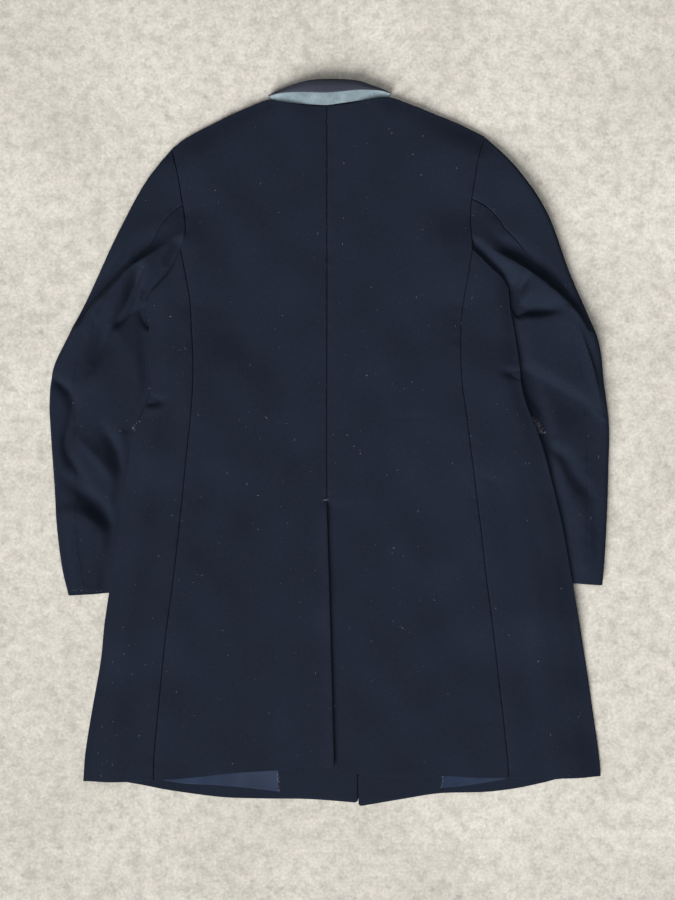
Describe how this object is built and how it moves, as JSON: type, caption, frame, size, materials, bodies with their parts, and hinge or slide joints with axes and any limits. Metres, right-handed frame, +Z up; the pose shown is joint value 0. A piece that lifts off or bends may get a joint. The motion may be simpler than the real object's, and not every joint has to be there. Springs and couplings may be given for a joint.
{
  "type": "long coat",
  "caption": "Long navy wool coat laid face down, sleeves tucked under the body, with a turned-over collar, centre-back vent and two-piece sleeves.",
  "frame": {"origin": "on the surface the coat lies on, under the middle of its box", "axes": "+Y from the hem to the collar, +Z up from the surface to the coat's back, +X across the coat to the right as seen from above"},
  "size_m": [0.7608, 0.9888, 0.0239],
  "materials": {
    "melton": "dense milled navy wool with a short nap",
    "collar_cloth": "navy wool with a slight purple cast",
    "felt": "pale blue-grey wool felt",
    "satin": "dark blue satin"
  },
  "bodies": {
    "root": {"back_left": "melton", "back_right": "melton", "side_left": "melton", "side_right": "melton", "front_left": "melton", "front_right": "melton", "top_sleeve_left": "melton", "top_sleeve_right": "melton", "under_sleeve_left": "melton", "under_sleeve_right": "melton", "top_collar": "collar_cloth", "under_collar": "felt", "collar_end_left": "collar_cloth", "collar_end_right": "collar_cloth", "lapel_left": "melton", "lapel_right": "melton", "flap_left": "melton", "flap_right": "melton", "facing_left": "melton", "facing_right": "melton", "lining_left": "satin", "lining_right": "satin"}
  },
  "joints": []
}
